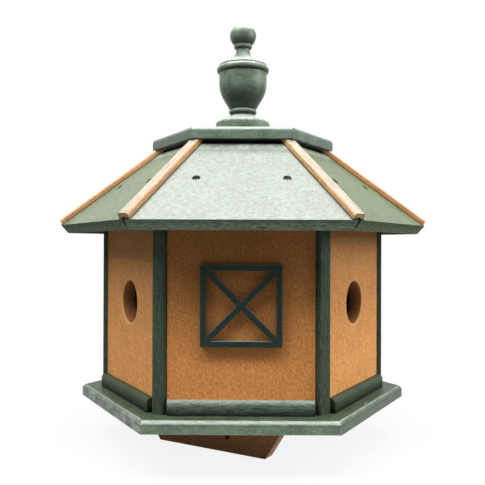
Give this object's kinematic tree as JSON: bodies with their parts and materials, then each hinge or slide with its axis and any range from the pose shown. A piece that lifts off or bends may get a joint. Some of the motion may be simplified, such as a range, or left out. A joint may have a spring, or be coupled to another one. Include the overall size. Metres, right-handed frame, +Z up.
{
  "type": "gazebo birdhouse",
  "caption": "Six-sided gazebo birdhouse with round entry holes, crossed windows, a hipped roof with battens, a cap and an urn finial, on cleats that straddle a square post.",
  "frame": {"origin": "on the floor under the axis, level with the lower edges of the post cleats", "axes": "+Z up; -Y is the front, a wall with a window; walls face every 60 degrees from there"},
  "size_m": [0.3628, 0.3178, 0.4076],
  "materials": {
    "green_lumber": "forest green plastic lumber, satin, faintly mottled",
    "cedar_lumber": "cedar coloured plastic lumber, satin, finely mottled grain"
  },
  "bodies": {
    "root": {"finial": "green_lumber", "cap": "green_lumber", "roof_hub": "green_lumber", "base_plate": "green_lumber", "front_roof_panel": "green_lumber", "front_right_roof_panel": "green_lumber", "back_right_roof_panel": "green_lumber", "back_roof_panel": "green_lumber", "back_left_roof_panel": "green_lumber", "front_left_roof_panel": "green_lumber", "front_window": "green_lumber", "back_right_window": "green_lumber", "back_left_window": "green_lumber", "front_left_post": "green_lumber", "front_right_post": "green_lumber", "right_post": "green_lumber", "back_right_post": "green_lumber", "back_left_post": "green_lumber", "left_post": "green_lumber", "front_baseboard": "green_lumber", "front_right_baseboard": "green_lumber", "back_right_baseboard": "green_lumber", "back_baseboard": "green_lumber", "back_left_baseboard": "green_lumber", "front_left_baseboard": "green_lumber", "front_left_hip_batten": "cedar_lumber", "front_right_hip_batten": "cedar_lumber", "right_hip_batten": "cedar_lumber", "back_right_hip_batten": "cedar_lumber", "back_left_hip_batten": "cedar_lumber", "left_hip_batten": "cedar_lumber", "front_wall": "cedar_lumber", "front_right_wall": "cedar_lumber", "back_right_wall": "cedar_lumber", "back_wall": "cedar_lumber", "back_left_wall": "cedar_lumber", "front_left_wall": "cedar_lumber", "front_cleat": "cedar_lumber", "back_cleat": "cedar_lumber"}
  },
  "joints": []
}
